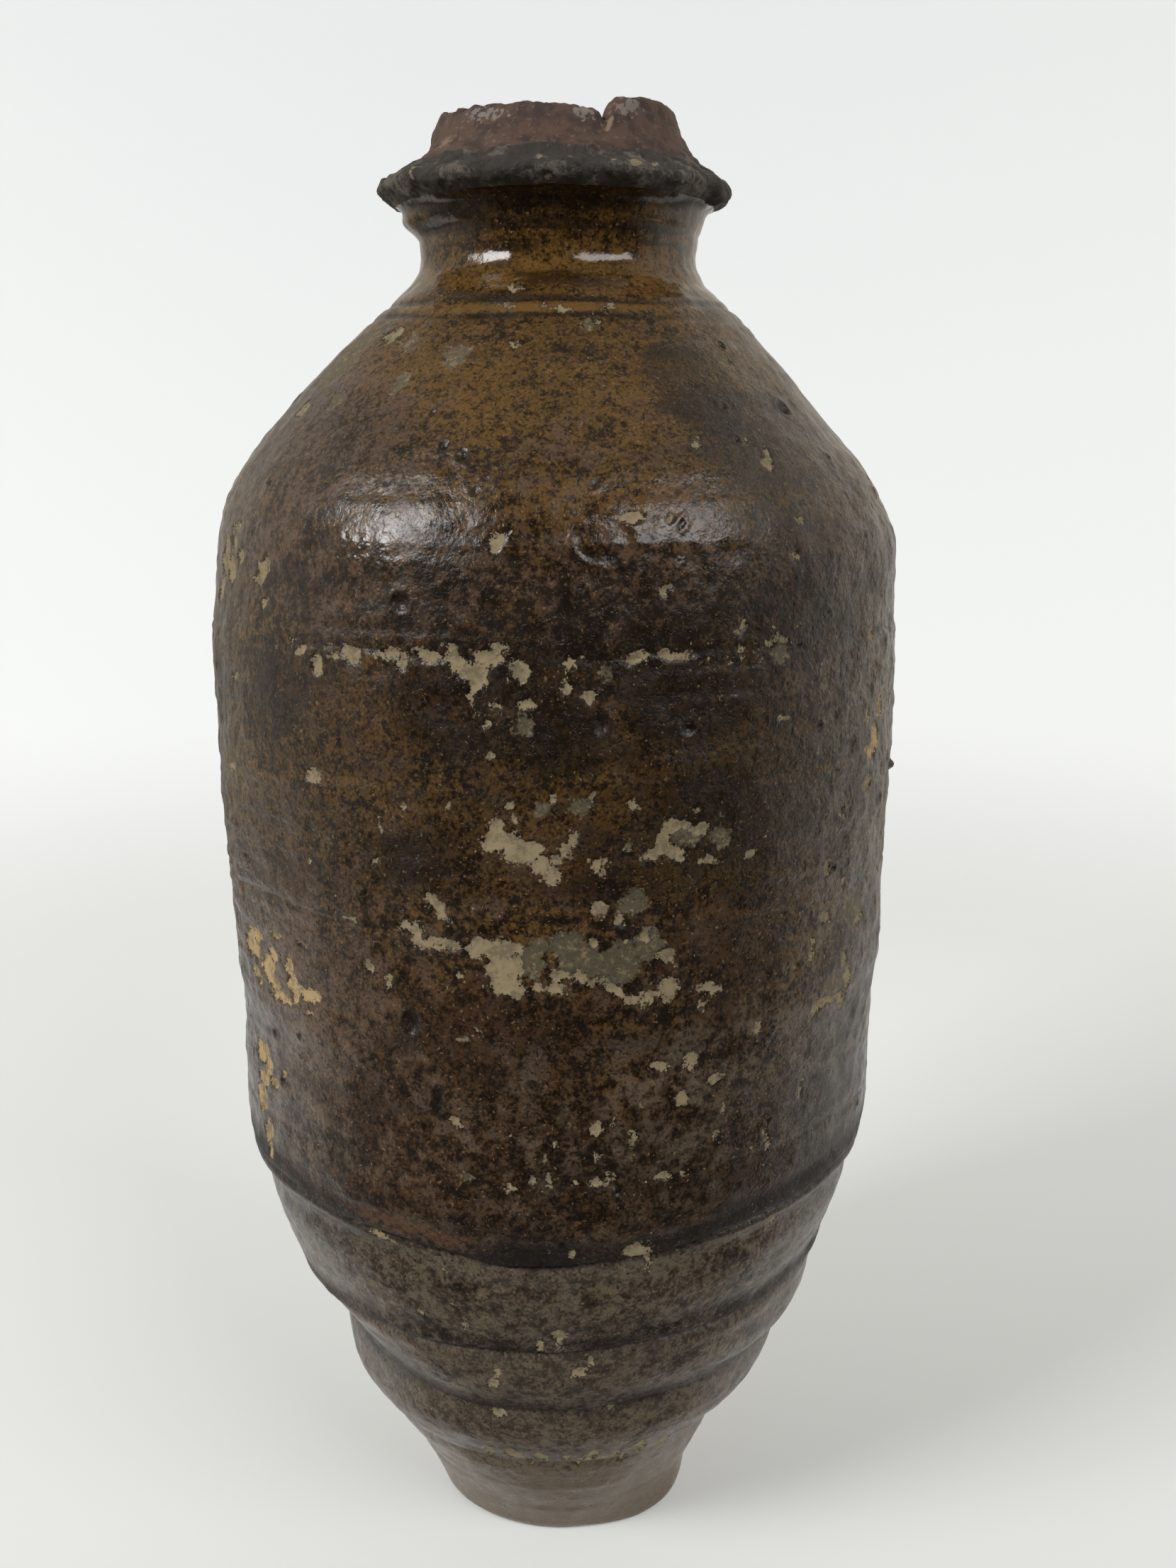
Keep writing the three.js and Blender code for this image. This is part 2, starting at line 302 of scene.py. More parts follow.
# Where a thin grey-green film of glaze is left over the slip.
FILMS = [
    (-3.5, 178.5, 1.8, 1.8), (35.5, 188.8, 2.4, 1.5), (7.8, 187.2, 1, 1.2), (-1, 164.5, 1.5, 1.8),
    (4.5, 165.3, 2.3, 1.6), (19.5, 159.3, 3, 2), (25, 158.5, 2.4, 1.8), (12, 149, 2.8, 2.2),
    (-14, 141, 2, 1.2), (-3, 138.5, 3, 3), (-1.5, 141.5, 2, 1.5), (2.5, 142, 3, 3),
    (5, 139, 4, 3.5), (10, 138, 4, 4), (14, 141, 3, 3), (57, 139, 4.5, 4), (51, 126.5, 3.5, 2.5),
    (11, 159, 0.8, 0.8), (2.5, 109, 0.8, 0.8), (-13.2, 98.7, 1.3, 0.9), (-25, 26, 1.5, 1.5),
    (-23, 237, 2.4, 1.8), (-60, 236, 6, 5), (9, 242, 1.2, 0.9), (-38, 239, 2.2, 1.5),
    (-33, 232.5, 1.6, 1.4), (-48, 229, 2, 1.6), (44, 236, 1.8, 1.4),
]
# Pits, craters and dark blisters.
PITS = [
    (-21.5, 126.5, 1.6, 2.2), (-20.8, 197.8, 1.5, 1.4), (12.8, 138.5, 0.7, 0.7),
    (-45, 118, 0.4, 0.5), (-54, 115.5, 0.7, 0.8), (-14, 220.5, 0.9, 0.9), (-17.5, 222, 0.7, 0.7),
    (46.5, 239, 0.6, 0.6), (54.5, 228.5, 1.5, 1), (7.3, 179, 1.1, 1.8), (20, 177.5, 1.2, 0.9),
    (-17.5, 112.5, 0.8, 2.2),
]
# Where the glaze is stained darker.
STAINS = [
    (-22.5, 124, 2.5, 3), (56, 246.5, 2.5, 1.5), (50, 230, 2.5, 2), (30, 232, 9, 7),
    (-22, 155, 6, 3.5), (24, 166, 7, 4), (20, 181, 9, 5), (2, 176, 6, 6),
]
# A burst blister with a raised edge, and a bead of glaze that stands out of the right side.
BLISTER = (8, 207.5, 6, 4.6)
BEAD = (79, 161, 1.0, 1.1)
BEAD_HEIGHT = 1.1


def scattered(seed, count, levels, stray, largest, sides=(95, 262)):
    """Marks drawn about some levels between two azimuths, which are the back's where none are given."""
    draw = np.random.default_rng(seed)
    places = []
    for _ in range(count):
        azimuth = draw.uniform(*sides)
        height = draw.choice(levels) + draw.normal(0, stray)
        wide = 0.4 + largest * draw.random() ** 2.5
        tall = wide * draw.uniform(0.5, 1.1)
        places.append((azimuth, height, wide, tall, draw.uniform(-40, 40)))
    return places


BACK_FLAKES = [
    *scattered(3, 40, [189.5], 0.8, 2.6),
    *scattered(5, 46, [140, 158], 3.5, 2.8),
    *scattered(8, 30, [98, 104], 2.5, 1.6),
    *scattered(13, 60, [60, 82, 110, 125, 170, 205, 225], 9, 1.4, (68, 292)),
    *scattered(21, 16, [26, 43], 1.2, 1.2, (50, 310)),
]
BACK_FILMS = scattered(34, 16, [139, 160, 186, 120], 5, 4.5)
# Small pits all over the barrel and the shoulder.
PINHOLES = scattered(55, 110, [110, 150, 200, 222, 232], 14, 0.45, (-180, 180))

# How far inside each kind of mark every point is.
FLAKE = marks([*FLAKES, *OCHRE_FLAKES, *BACK_FLAKES])
OCHRE = marks([(*place, wide + 2, tall + 2) for *place, wide, tall in OCHRE_FLAKES])
FILM = marks([*FILMS, *BACK_FILMS])
PIT = marks([*PITS, *PINHOLES], 0.35)
RING = marks([BLISTER], 0.7)
STAIN = marks(STAINS, 2.0)

# ---------------- Shape: coils, rim and relief

# The height of the worn break of slope above the waist joint, by azimuth.
LIP_LINE = around([
    (-180, 85), (-120, 87), (-55, 88), (-35, 85), (-14, 81.6), (0, 81), (14, 81.4), (35, 85),
    (55, 88), (120, 86),
], 14)
# The strip below that line slants out by this share of its height and ends in a groove this deep.
# Above the line, the barrel's rounded foot swells out up to BARREL_FOOT.
STRIP_SLANT = 0.5
STRIP_GROOVE = 0.6
BARREL_FOOT = 93.0
# How far each joint runs above its CAD height, by azimuth, and the degrees it is rounded over.
JOINT_RUNS = {
    "lower_coil_1": [(-180, 1), (-60, 1.6), (0, 1.5), (60, 1.2)],
    "lower_coil_2": [(-180, -0.6), (-60, 0), (0, 0.4), (60, 0.9), (130, 0.4)],
    "lower_coil_3": [(-180, -2), (-110, -3), (-45, -2.6), (0, -0.3), (52, 0.3), (120, -0.6)],
    "barrel_coil_1": [(-180, 0.8), (-60, -0.6), (0, 0), (60, 0.4), (120, 1)],
}
JOINT_BLUR = 40
# The rim's height by azimuth: worn low on the left, a split, the whole rim, and a chip behind.
RIM_LINE = around([
    (-108, 281.9), (-88, 281.5), (-62, 280.7), (-20, 280.1), (0, 279.7), (18, 279), (20.5, 278.4),
    (22, 277.2), (23, 277.2), (24.5, 278.6), (26.5, 280.2), (30, 281.2), (45, 282), (70, 281.9),
    (95, 280.4), (120, 280.6), (128, 281.8), (180, 281.6),
], 1)
# The height that the rim's unevenness starts from, and the one below which its edge is broken.
RIM_BASE = 273.0
BROKEN_BELOW = 281.5
# How far the ring's centre is to the right of the foot's, by height.
LEANS = [(0, 0), (205, 0), (230, 0.3), (250, 0.8), (262, 0.7), (269, 0), (274, 0.5), (282, 1)]
# Broad bulges and hollows of the sides, as azimuth, height, half height and depth, and the degrees
# that each reaches either way.
SIDE_BULGES = [
    (-62, 232, 26, 1.5), (62, 225, 12, -0.7), (-62, 199, 12, -0.7), (62, 204, 9, 1.1),
    (62, 128, 14, 1), (-62, 112, 12, -1), (-62, 79, 9, 1), (62, 79, 9, 1), (-62, 49, 17, -3.4),
    (62, 50, 8, 0.9), (62, 20, 13, -1.9), (-62, 15, 8, -1.1), (50, 1, 6, 1.6), (-75, 262.3, 4, 2),
    (-85, 274.5, 4.5, -1.1),
]
BULGE_REACH = 45


def joint_runs():
    """How far every point is moved up by the joints' uneven paths."""
    total = np.zeros(PLACES.shape[:2])
    for name, knots in JOINT_RUNS.items():
        weight = np.interp(LEVEL, list(BASE.values()), [float(name == node) for node in PIECES])
        total += weight * around(knots, JOINT_BLUR)
    return total


def coil_swell():
    """The scallops: each lower coil leaves its joint slanting out and ends upright."""
    swell = np.zeros(PLACES.shape[:2])
    for name, following in zip(PIECES[1:5], PIECES[2:6]):
        share = np.clip((LEVEL - BASE[name]) / (BASE[following] - BASE[name]), 0, 1)
        grown = np.interp([BASE[name], BASE[following]], LEVEL[:, 0], REACH[:, 0])
        fullness = 0.35 if name == "foot_coil" else 1.0
        swell += fullness * (grown[1] - grown[0]) * share * (1 - share)
    return swell


def lip_relief():
    """The step above the waist joint: a slanting strip, a groove, then the barrel's rounded foot."""
    joint = BASE["barrel_coil_1"]
    base, full = np.interp([joint, BARREL_FOOT], LEVEL[:, 0], REACH[:, 0])
    slant = STRIP_SLANT * (LIP_LINE - joint)
    groove = base + slant - STRIP_GROOVE
    strip = base + slant * ease(LEVEL, joint, LIP_LINE)
    share = np.clip((LEVEL - LIP_LINE) / (BARREL_FOOT - LIP_LINE), 0, 1)
    barrel = groove + (full - groove) * (1 - (1 - share) ** 2)
    target = np.where(LEVEL < LIP_LINE, strip, barrel)
    within = (LEVEL >= joint) & (LEVEL <= BARREL_FOOT)
    return np.where(within, target - REACH, 0)


# Where a lip droops over a crevice: its line, the crevice's depth, and how far the lip droops.
CREVICES = (
    (LIP_LINE, 1.4, 1.2), (BASE["lower_coil_3"], 1.3, 1.1), (BASE["lower_coil_2"], 0.25, 0.1),
    (BASE["lower_coil_1"], 0.3, 0.4),
)


def crevices():
    """The lips, the crevices under them and the ledges below, as moves out and moves up."""
    uneven = 0.75 + 0.35 * noise(9, 17)
    out = up = 0
    for line, depth, droop in CREVICES:
        above = LEVEL - line
        dip = hump(above, -0.2, 1.3) - 0.45 * hump(above, 1.6, 2.6) - 0.3 * hump(above, -2.6, 2.4)
        out = out - depth * uneven * dip
        up = up - droop * uneven * ease(above, -0.1, 0.5) * ease(above, 3.5, 0.6)
    return out, up


def softened(field, passes=3):
    """The field with its creases rounded over a few rows."""
    for _ in range(passes):
        field[1:-1] = (field[:-2] + 2 * field[1:-1] + field[2:]) / 4
    return field


# The heights and depths of the lines cut round the neck, and the heights of the barrel's seams.
NECK_LINES = ((246.5, 0.45), (243.9, 0.3), (260, 0.3))
SEAM_LINES = (98, 143, 189.5)


def thrown_lines():
    """Fine ridges left by the fingers, level but uneven."""
    barrel = hump(LEVEL, 150, 70)
    lines = 0.16 * noise(3.2, 11, 14) * barrel + 0.1 * noise(1.5, 12, 20)
    lines += 0.3 * noise(2.2, 13, 12) * hump(LEVEL, 250, 18)
    for height, depth in NECK_LINES:
        lines -= depth * hump(LEVEL + 0.5 * noise(14, 14), height, 0.9) * (0.6 + 0.4 * noise(9, 15))
    for height in SEAM_LINES:
        lines -= 0.22 * hump(LEVEL + 0.8 * noise(10, 16), height, 0.9)
    return lines


def patch(azimuth, height, wide, tall):
    """1 at a place on the sheet, falling to 0 wide degrees and tall millimetres away."""
    return hump(ANGLE_GRID, azimuth, wide) * hump(LEVEL, height, tall)


def lumps():
    """The slow unevenness of a hand-built wall, and the small roughness of its surface."""
    edge = ease(LEVEL, 264.5, 266) * (1 - ease(LEVEL, 272, 274))
    mouth = ease(LEVEL, 272, 275)
    total = 0.45 * noise(26, 21) + 0.2 * noise(9, 22) + 0.1 * noise(2.6, 23)
    total = total * (1 - 0.5 * mouth) * ease(LEVEL, 0, 3)
    total += edge * (0.5 * noise(4.2, 24) + 0.4 * noise(1.7, 25) + 0.25 * noise(0.9, 28))
    flanks = patch(70, 165, 40, 95) + patch(-72, 150, 30, 95)
    total += flanks * (0.3 * noise(3.2, 29) + 0.17 * noise(1.6, 30))
    total += mouth * (0.12 * noise(2.6, 26) + 0.1 * noise(1.1, 27))
    return total


def bulges():
    """Broad bulges and hollows on the sides."""
    total = np.zeros(PLACES.shape[:2])
    for azimuth, height, tall, depth in SIDE_BULGES:
        total += depth * patch(azimuth, height, BULGE_REACH, tall)
    return total


# The flange's thick drip on the right, and how far it sags and stands out.
DRIP = patch(72, 267.5, 11, 3.5)
DRIP_SAG = 1.3
DRIP_SWELL = 0.5


def rim_drop():
    """How far the rim falls short of a level one."""
    rough = (0.35 * noise(1.6, 31) + 0.2 * noise(0.8, 32)) * (RIM_LINE < BROKEN_BELOW)
    return ease(LEVEL, RIM_BASE, OUTLINE_TOP) * (RIM_LINE - OUTLINE_TOP + rough)


def turned(reach, height, levels):
    """Places on rows turned about Z, each row moved by the lean at its level."""
    lean = np.interp(levels, *zip(*LEANS))[:, None]
    across, along = reach * np.sin(RADIANS) + lean, -reach * np.cos(RADIANS)
    return np.stack([across, along, height + 0 * RADIANS], axis=-1)


def outer_places():
    """The finished outside, as places in millimetres by row and column."""
    lip_out, lip_up = crevices()
    coils = coil_swell() + lip_relief()
    valleys = 1 - ease(LEVEL, 48, 56)
    swell = valleys * softened(coils.copy(), 24) + (1 - valleys) * softened(coils)
    swell += thrown_lines() + lumps() + bulges() + lip_out
    swell += 0.3 * hump(RING, 0.6, 0.9)
    swell -= 0.3 * ease(FLAKE, -0.2, 0.3) + 0.12 * ease(FILM, -0.2, 0.4)
    swell -= 0.65 * ease(PIT, -0.3, 0.8) - 0.15 * hump(PIT, -0.4, 0.5)
    swell += BEAD_HEIGHT * ease(marks([BEAD], 0.2), -0.2, 0.8)
    swell += DRIP_SWELL * DRIP
    reach = REACH + swell * OUT
    height = LEVEL + swell * UP + joint_runs() + rim_drop() - DRIP_SAG * DRIP + lip_up
    height = np.maximum(height, 0)
    height[0] = 0
    return turned(reach, height, LEVEL[:, 0])


def inner_places():
    """The inside's rows for each piece above the foot disc, from its top joint to its bottom one."""
    path = evenly(curve(INSIDE), INSIDE_FINE_STEP)[::-1]
    levels = [path[0, 1], *(TOP[name] for name in PIECES[1:-1]), path[-1, 1]]
    rows = []
    for low, high in zip(levels, levels[1:]):
        part = evenly(cut(path, low, high), INSIDE_STEP)[::-1]
        reach, height = part[:, :1], part[:, 1:]
        ridges = 0.25 * np.sin(height * 0.9) * ease(height, 12, 20)
        ridges[[0, -1]] = 0
        rows.append(turned(reach + ridges, height, height[:, 0]))
    return rows


# ---------------- Shape: the pieces


def grid_normals(places):
    """The sheet's normals, from its neighbouring rows and columns."""
    up = np.gradient(places, axis=0)
    along = np.roll(places, -1, axis=1) - np.roll(places, 1, axis=1)
    normals = np.cross(along, up)
    return normals / np.linalg.norm(normals, axis=-1, keepdims=True)


def mesh_object(name, places, faces):
    """A new object in the scene, with this mesh."""
    mesh = bpy.data.meshes.new(name)
    mesh.from_pydata(places, [], faces)
    made = bpy.data.objects.new(name, mesh)
    bpy.context.scene.collection.objects.link(made)
    return made


def quads(first, second):
    """The faces between two rings of vertex numbers."""
    return np.stack([first, np.roll(first, -1), np.roll(second, -1), second], axis=-1)


def fired_piece(name, outer, normals, inner, values):
    """One closed piece, with the sheet's normals on its outside and its values on every point.

    A ring of clay has a joint face at each end and an inside. The foot disc has no inside rows, so
    it is closed by a fan of faces below and another above.
    """
    rings = [*outer, *inner]
    places = np.vstack(rings) * MM
    numbers = np.arange(len(places)).reshape(len(rings), COLUMNS)
    faces = np.vstack([quads(a, b) for a, b in zip(numbers, numbers[1:])])
    fans = []
    if len(inner):
        faces = np.vstack([faces, quads(numbers[-1], numbers[0])])
    else:
        bottom, top = len(places), len(places) + 1
        places = np.vstack([places, [0, 0, 0], [0, 0, outer[-1, 0, 2] * MM]])
        fans = [(*pair, bottom) for pair in zip(np.roll(numbers[0], -1), numbers[0])]
        fans += [(*pair, top) for pair in zip(numbers[-1], np.roll(numbers[-1], -1))]
    piece = mesh_object(name, places.tolist(), [*faces.tolist(), *fans])
    mesh = piece.data
    outside = (len(outer) - 1) * COLUMNS
    smooth = np.zeros(len(mesh.polygons), bool)
    smooth[:outside] = True
    if len(inner):
        smooth[outside + COLUMNS : -COLUMNS] = True
    mesh.polygons.foreach_set("use_smooth", smooth)
    corner_vertices = np.empty(len(mesh.loops), np.int64)
    mesh.loops.foreach_get("vertex_index", corner_vertices)
    corner_normals = np.zeros((len(mesh.loops), 3))
    shown = slice(outside * 4)
    corner_normals[shown] = normals.reshape(-1, 3)[corner_vertices[shown]]
    mesh.normals_split_custom_set(corner_normals.tolist())
    for field, (value, elsewhere) in values.items():
        layer = mesh.attributes.new(field, "FLOAT", "POINT")
        filled = np.full(len(places), elsewhere, np.float32)
        filled[: value.size] = value.ravel()
        layer.data.foreach_set("value", filled)
    return piece


def make_pieces(values):
    """Cuts the sheet into a closed piece for each CAD node, and returns them by node."""
    outer = outer_places()
    normals = grid_normals(outer)
    inner = inner_places()
    floor = inner[0][-1:]
    made = {}
    for index, node in enumerate(PIECES):
        rows = slice(ENDS[index], ENDS[index + 1] + 1)
        outside, outside_normals = outer[rows], normals[rows]
        inside = inner[index - 1]
        if node == "foot_disc":
            outside = np.concatenate([outside, floor])
            outside_normals = np.concatenate([outside_normals, floor * 0 + [0, 0, 1]])
            inside = []
        part_values = {key: (value[rows], rest) for key, (value, rest) in values.items()}
        piece = fired_piece(f"{node}_fired", outside, outside_normals, inside, part_values)
        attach(piece, "root")
        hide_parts(node)
        made[node] = piece
    return made


# ---------------- Materials


class Nodes:
    """A node tree, with short calls for the few kinds of node that it needs."""

    def __init__(self, owner):
        owner.use_nodes = True
        self.tree = owner.node_tree

    def fill(self, node, inputs):
        """Links sockets into a node's inputs, and fills in numbers and colours."""
        for key, value in inputs.items():
            if isinstance(value, bpy.types.NodeSocket):
                self.tree.links.new(value, node.inputs[key])
            else:
                node.inputs[key].default_value = value

    def node(self, kind, inputs, **settings):
        """A node with its settings and its inputs."""
        node = self.tree.nodes.new(kind)
        for key, value in settings.items():
            setattr(node, key, value)
        self.fill(node, inputs)
        return node

    def math(self, operation, a, b):
        """What an operation makes of two numbers."""
        return self.node("ShaderNodeMath", {0: a, 1: b}, operation=operation).outputs[0]

    def times(self, a, b):
        """The product of two numbers."""
        return self.math("MULTIPLY", a, b)

    def total(self, *parts):
        """The sum of numbers, each alone or with the share of it that counts."""
        result = None
        for part in parts:
            value = self.times(*part) if isinstance(part, tuple) else part
            result = value if result is None else self.math("ADD", result, value)
        return result

    def step(self, value, low, high, at_low=0.0, at_high=1.0):
        """One number where the value is low, another where it is high, and smooth between."""
        inputs = {
            "Value": value, "From Min": low, "From Max": high, "To Min": at_low, "To Max": at_high,
        }
        return self.node("ShaderNodeMapRange", inputs, interpolation_type="SMOOTHSTEP").outputs[0]

    def blend(self, share, a, b):
        """Colour a where share is 0 and colour b where it is 1."""
        return self.node("ShaderNodeMix", {0: share, 6: a, 7: b}, data_type="RGBA").outputs[2]

    def level(self, share, a, b):
        """Number a where share is 0 and number b where it is 1."""
        inputs = {0: share, 2: a, 3: b}
        return self.node("ShaderNodeMix", inputs, data_type="FLOAT").outputs[0]


class Shader(Nodes):
    """A material's nodes."""

    def __init__(self, name):
        self.material = bpy.data.materials.new(name)
        super().__init__(self.material)
        self.surface = self.tree.nodes["Principled BSDF"]
        place = self.node("ShaderNodeTexCoord", {}).outputs["Object"]
        inputs = {0: place, "Scale": 1 / MM}
        self.place = self.node("ShaderNodeVectorMath", inputs, operation="SCALE").outputs[0]

    def field(self, name):
        """A number stored on the mesh."""
        return self.node("ShaderNodeAttribute", {}, attribute_name=name).outputs["Fac"]

    def noise(self, size, detail=2.0, roughness=0.55, stretch=1.0):
        """Noise about 0.5 with lumps of a size in millimetres, and stretch times as wide."""
        place = self.place
        if stretch != 1:
            scale = (1 / stretch, 1 / stretch, 1)
            place = self.node("ShaderNodeMapping", {"Vector": place, "Scale": scale}).outputs[0]
        inputs = {"Vector": place, "Scale": 1 / size, "Detail": detail, "Roughness": roughness}
        return self.node("ShaderNodeTexNoise", inputs).outputs[0]

    def centred(self, *settings):
        """The same noise about 0."""
        return self.math("SUBTRACT", self.noise(*settings), 0.5)

    def finish(self, colour, roughness, heights):
        """Links the colour, the roughness and the bump's heights in millimetres to the surface."""
        bump = self.node("ShaderNodeBump", {"Height": heights, "Distance": MM, "Strength": 1.0})
        inputs = {"Base Color": colour, "Roughness": roughness, "Normal": bump.outputs[0]}
        self.fill(self.surface, inputs)
        return self.material


def rgb(*values):
    """A shader colour from display values of 11 to 255."""
    return (*(((value / 255 + 0.055) / 1.055) ** 2.4 for value in values), 1.0)


# Each kind of glaze has a dark and a light mottling.
AMBER_DARK, AMBER_LIGHT = rgb(34, 25, 14), rgb(108, 79, 38)
BROWN_DARK, BROWN_LIGHT = rgb(28, 20, 13), rgb(74, 52, 33)
PLUM_DARK, PLUM_LIGHT = rgb(42, 32, 25), rgb(97, 76, 59)
GREY_DARK, GREY_LIGHT = rgb(60, 52, 42), rgb(103, 90, 74)
# The glaze's specks, streaks and stains; DEEP_BROWN also paints the shade under the lips, under the
# flange and round the neck, and BLACK_BROWN the shadow along the flakes' edges.
BLACK_BROWN = rgb(24, 18, 15)
DEEP_BROWN = rgb(28, 20, 14)
RUST = rgb(90, 61, 41)
TAN_SPECK = rgb(140, 112, 78)
# The slip under the glaze, and the film of glaze that is left on it in places.
CREAM = rgb(148, 132, 101)
OCHRE_CREAM = rgb(180, 154, 112)
FILM_GREY = rgb(93, 85, 65)
# The flange and the bare mouth.
FLANGE_BLACK, FLANGE_GREY = rgb(60, 54, 48), rgb(112, 103, 91)
ASH = rgb(112, 106, 92)
CLAY = rgb(90, 68, 56)
CLAY_DARK = rgb(62, 46, 40)
CLAY_PALE = rgb(136, 114, 92)
DEPOSIT = rgb(140, 130, 124)


def glaze_kinds(s):
    """The brown, amber, plum and grey kinds of glaze, each with its mottling."""
    broad = s.centred(17, 3)
    middle = s.centred(4.5, 4)
    small = s.centred(1.5, 4, 0.65)
    fine = s.centred(0.55, 3)
    # The lift field brings a painted sheen on the foot into the lighter mottling, and the pale field
    # brings painted sheen on the lower coils, the foot and the ledges into the grey kind.
    light = s.step(s.total(small, (middle, 0.5), (fine, 0.7), (s.field("lift"), 0.2)), -0.17, 0.2)
    amber = s.step(s.total(s.field("amber"), (broad, 1.5), (small, 1.2)), 0.2, 0.8)
    plum = s.step(s.total(s.field("plum"), (middle, 2), (broad, 1.2)), 0.25, 0.85)
    pale = s.step(s.total(s.field("pale"), (middle, 1.5), (small, 1)), 0.2, 0.9)
    colour = s.blend(light, BROWN_DARK, BROWN_LIGHT)
    colour = s.blend(amber, colour, s.blend(light, AMBER_DARK, AMBER_LIGHT))
    colour = s.blend(plum, colour, s.blend(light, PLUM_DARK, PLUM_LIGHT))
    return s.blend(pale, colour, s.blend(light, GREY_DARK, GREY_LIGHT)), middle, small


def glaze_colour(s):
    """The mottled, stained and speckled glaze with its painted shade, and the share of dark specks at
    each place.
    """
    colour, middle, small = glaze_kinds(s)
    colour = s.blend(s.step(s.total(s.field("rust"), (small, 3)), 0.2, 1.2), colour, RUST)
    gloss = s.field("gloss")
    streaks = s.centred(5, 4, 0.6, 8)
    runs = s.times(s.centred(3, 3, 0.6, 4.5), s.step(gloss, 0.6, 1.1))
    # The dark field holds stains and streaks, and painted shade under the lips, under the flange and
    # round the neck.
    dark = s.total(s.field("dark"), (streaks, 1.2), (middle, 0.9), (small, 1.7), (runs, 3))
    colour = s.blend(s.times(s.step(dark, 0.2, 0.75), 0.75), colour, DEEP_BROWN)
    speckled = s.total(s.centred(0.9, 3), (dark, 0.07), (gloss, -0.08), (s.field("bumpy"), 0.04))
    specks = s.step(speckled, 0.09, 0.14)
    colour = s.blend(s.times(specks, 0.75), colour, BLACK_BROWN)
    blots = s.step(s.total(s.centred(1.7, 3, 0.6), (dark, 0.06)), 0.14, 0.2)
    colour = s.blend(s.times(blots, 0.5), colour, BLACK_BROWN)
    dots = s.step(s.total(s.centred(0.65, 2), (s.field("dots"), 0.05)), 0.2, 0.23)
    return s.blend(s.times(dots, 0.55), colour, TAN_SPECK), specks


def flaked_colour(s, colour):
    """The glaze flaked off to cream slip in places, and the shares of flake and film."""
    ragged = s.total((s.centred(2.2, 5, 0.8), 4.4), (s.centred(0.5, 3), 1.2))
    flake_depth = s.total(s.field("flake"), ragged, 0.03)
    crumbs = s.step(s.total(s.centred(1.2, 4), (s.field("crumbs"), 0.09)), 0.235, 0.25)
    flake = s.math("MAXIMUM", s.step(flake_depth, -0.05, 0.1), crumbs)
    film_depth = s.total(s.field("film"), ragged)
    film = s.times(s.step(film_depth, -0.2, 0.5), s.step(s.centred(0.9, 4, 0.7), -0.2, -0.08))
    stained = s.total(s.field("ochre"), (s.centred(2.2, 2), 1.5))
    cream = s.blend(s.step(stained, 0.2, 0.8), CREAM, OCHRE_CREAM)
    dirty = s.step(s.total(s.centred(0.8, 4, 0.7), (s.centred(3, 2), 1)), -0.08, 0.2)
    cream = s.blend(s.times(dirty, 0.65), cream, FILM_GREY)
    film_colour = s.blend(s.step(s.centred(1.1, 5, 0.75), 0.0, 0.18), FILM_GREY, CREAM)
    colour = s.blend(s.times(film, 0.75), colour, film_colour)
    # A painted shadow: a dark line just outside each flake's edge.
    colour = s.blend(s.times(s.step(flake_depth, -0.45, -0.05), 0.4), colour, BLACK_BROWN)
    return s.blend(flake, colour, cream), flake, film


def glaze():
    """The brown glaze: glossy at the neck, crinkled on the shoulder and pitted where it is worn."""
    s = Shader("brown_glaze_look")
    colour, specks = glaze_colour(s)
    colour, flake, film = flaked_colour(s, colour)
    gloss = s.field("gloss")
    crinkle = s.field("crinkle")
    dull = s.total(gloss, (s.centred(3.5, 4), 1.6))
    roughness = s.level(s.step(dull, 0.0, 1.0), 0.4, 0.13)
    roughness = s.level(s.step(dull, -0.8, -0.1), 0.62, roughness)
    roughness = s.level(film, roughness, 0.55)
    roughness = s.level(flake, roughness, 0.85)
    glassy = s.times(crinkle, s.step(s.centred(2.4, 4, 0.7), -0.06, 0.04))
    roughness = s.level(glassy, roughness, 0.15)
    worn = s.math("SUBTRACT", 1.0, s.math("MAXIMUM", crinkle, s.step(gloss, 0.5, 1.1)))
    peel = s.times(s.centred(1.9, 2), s.level(worn, 0.08, s.level(s.field("bumpy"), 0.16, 0.9)))
    pitting = s.times(s.centred(0.75, 4, 0.6), s.level(worn, 0.02, 0.14))
    crinkled = s.times(s.centred(1.7, 2, 0.5), s.times(crinkle, 0.22))
    dents = s.times(specks, s.level(gloss, -0.05, 0.0))
    return s.finish(colour, roughness, s.total(peel, pitting, crinkled, dents, (flake, -0.14)))


def flange_glaze():
    """The flange's burnt edge: black, rough and pitted, with ash and crumbs of cream."""
    s = Shader("dark_glaze_look")
    under = s.field("under")
    grit = s.total(s.centred(1.2, 5, 0.75), (s.centred(7, 2), 1.2), (s.field("ash"), 0.12))
    colour = s.blend(s.step(grit, 0.02, 0.2), FLANGE_BLACK, FLANGE_GREY)
    amber = s.total(under, (s.centred(2.6, 4), 2.5))
    colour = s.blend(s.step(amber, 0.3, 0.9), colour, AMBER_DARK)
    ash = s.total(s.field("ash"), (s.centred(2.6, 5, 0.7), 4.0))
    colour = s.blend(s.times(s.step(ash, 0.9, 1.2), 0.8), colour, ASH)
    bare = s.total(s.field("bare"), (s.centred(1.2, 4), 1.6))
    colour = s.blend(s.step(bare, 0.45, 0.6), colour, CLAY)
    fleck = s.total(s.field("fleck"), s.centred(0.5, 2))
    colour = s.blend(s.step(fleck, -0.05, 0.1), colour, CREAM)
    roughness = s.level(under, s.level(s.noise(0.9, 3), 0.4, 0.8), 0.2)
    heights = s.times(s.noise(1.0, 5, 0.7), s.level(under, 0.9, 0.15))
    return s.finish(colour, roughness, heights)


